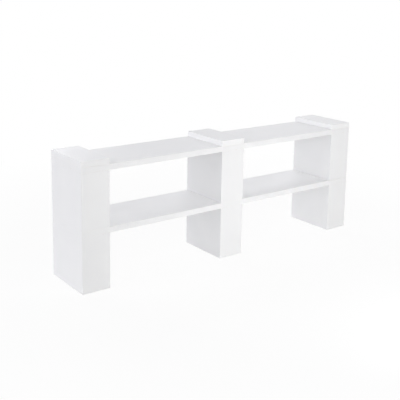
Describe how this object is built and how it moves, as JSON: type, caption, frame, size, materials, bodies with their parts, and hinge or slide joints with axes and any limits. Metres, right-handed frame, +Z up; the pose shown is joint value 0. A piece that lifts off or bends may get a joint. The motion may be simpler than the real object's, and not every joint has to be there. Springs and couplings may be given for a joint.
{
  "type": "low block and board shelving unit",
  "caption": "Long low white shelving unit: boards stacked between hollow rectangular blocks in columns, a cap on each column, open front and back, two open bays a level.",
  "frame": {"origin": "on the floor, at the middle of the unit's length and depth", "axes": "+X along the boards towards the right column as seen from the front, +Y to the rear, +Z up; the front faces -Y"},
  "size_m": [1.9, 0.325, 0.683],
  "materials": {
    "white_panel": "smooth satin white foil on board",
    "white_board": "smooth satin white foil on board, white edge band",
    "white_cap": "smooth satin white foil on board, white edge band",
    "raw_plate": "raw chipboard",
    "beech_dowel": "bare turned beech",
    "grey_felt": "pressed felt"
  },
  "bodies": {
    "base_blocks": {"left_lower_block_front_panel": "white_panel", "left_lower_block_rear_panel": "white_panel", "left_lower_block_left_panel": "white_panel", "left_lower_block_right_panel": "white_panel", "left_lower_block_bottom_plate": "raw_plate", "left_lower_block_top_plate": "raw_plate", "left_lower_block_front_dowel": "beech_dowel", "left_lower_block_rear_dowel": "beech_dowel", "centre_lower_block_front_panel": "white_panel", "centre_lower_block_rear_panel": "white_panel", "centre_lower_block_left_panel": "white_panel", "centre_lower_block_right_panel": "white_panel", "centre_lower_block_bottom_plate": "raw_plate", "centre_lower_block_top_plate": "raw_plate", "centre_lower_block_front_dowel": "beech_dowel", "centre_lower_block_rear_dowel": "beech_dowel", "right_lower_block_front_panel": "white_panel", "right_lower_block_rear_panel": "white_panel", "right_lower_block_left_panel": "white_panel", "right_lower_block_right_panel": "white_panel", "right_lower_block_bottom_plate": "raw_plate", "right_lower_block_top_plate": "raw_plate", "right_lower_block_front_dowel": "beech_dowel", "right_lower_block_rear_dowel": "beech_dowel", "left_column_left_floor_strip": "grey_felt", "left_column_right_floor_strip": "grey_felt", "centre_column_left_floor_strip": "grey_felt", "centre_column_right_floor_strip": "grey_felt", "right_column_left_floor_strip": "grey_felt", "right_column_right_floor_strip": "grey_felt"},
    "lower_shelf": {"lower_board": "white_board"},
    "left_upper_block": {"left_upper_block_front_panel": "white_panel", "left_upper_block_rear_panel": "white_panel", "left_upper_block_left_panel": "white_panel", "left_upper_block_right_panel": "white_panel", "left_upper_block_bottom_plate": "raw_plate", "left_upper_block_top_plate": "raw_plate", "left_upper_block_front_dowel": "beech_dowel", "left_upper_block_rear_dowel": "beech_dowel"},
    "centre_upper_block": {"centre_upper_block_front_panel": "white_panel", "centre_upper_block_rear_panel": "white_panel", "centre_upper_block_left_panel": "white_panel", "centre_upper_block_right_panel": "white_panel", "centre_upper_block_bottom_plate": "raw_plate", "centre_upper_block_top_plate": "raw_plate", "centre_upper_block_front_dowel": "beech_dowel", "centre_upper_block_rear_dowel": "beech_dowel"},
    "right_upper_block": {"right_upper_block_front_panel": "white_panel", "right_upper_block_rear_panel": "white_panel", "right_upper_block_left_panel": "white_panel", "right_upper_block_right_panel": "white_panel", "right_upper_block_bottom_plate": "raw_plate", "right_upper_block_top_plate": "raw_plate", "right_upper_block_front_dowel": "beech_dowel", "right_upper_block_rear_dowel": "beech_dowel"},
    "upper_shelf": {"upper_board": "white_board"},
    "left_top_cap": {"left_cap": "white_cap"},
    "centre_top_cap": {"centre_cap": "white_cap"},
    "right_top_cap": {"right_cap": "white_cap"}
  },
  "joints": [
    {"name": "lift_lower_board", "type": "slide", "parent": "base_blocks", "child": "lower_shelf", "axis": [0, 0, 1], "range_m": [0, 0.06]},
    {"name": "lift_centre_upper_block", "type": "slide", "parent": "lower_shelf", "child": "centre_upper_block", "axis": [0, 0, 1], "range_m": [0, 0.03]},
    {"name": "lift_left_upper_block", "type": "slide", "parent": "lower_shelf", "child": "left_upper_block", "axis": [0, 0, 1], "range_m": [0, 0.03]},
    {"name": "lift_right_upper_block", "type": "slide", "parent": "lower_shelf", "child": "right_upper_block", "axis": [0, 0, 1], "range_m": [0, 0.03]},
    {"name": "lift_upper_board", "type": "slide", "parent": "centre_upper_block", "child": "upper_shelf", "axis": [0, 0, 1], "range_m": [0, 0.06]},
    {"name": "lift_left_cap", "type": "slide", "parent": "upper_shelf", "child": "left_top_cap", "axis": [0, 0, 1], "range_m": [0, 0.03]},
    {"name": "lift_centre_cap", "type": "slide", "parent": "upper_shelf", "child": "centre_top_cap", "axis": [0, 0, 1], "range_m": [0, 0.03]},
    {"name": "lift_right_cap", "type": "slide", "parent": "upper_shelf", "child": "right_top_cap", "axis": [0, 0, 1], "range_m": [0, 0.03]}
  ],
  "couplings": [
    {"joint": "lift_left_upper_block", "follows": "lift_centre_upper_block", "ratio": 1},
    {"joint": "lift_right_upper_block", "follows": "lift_centre_upper_block", "ratio": 1}
  ]
}
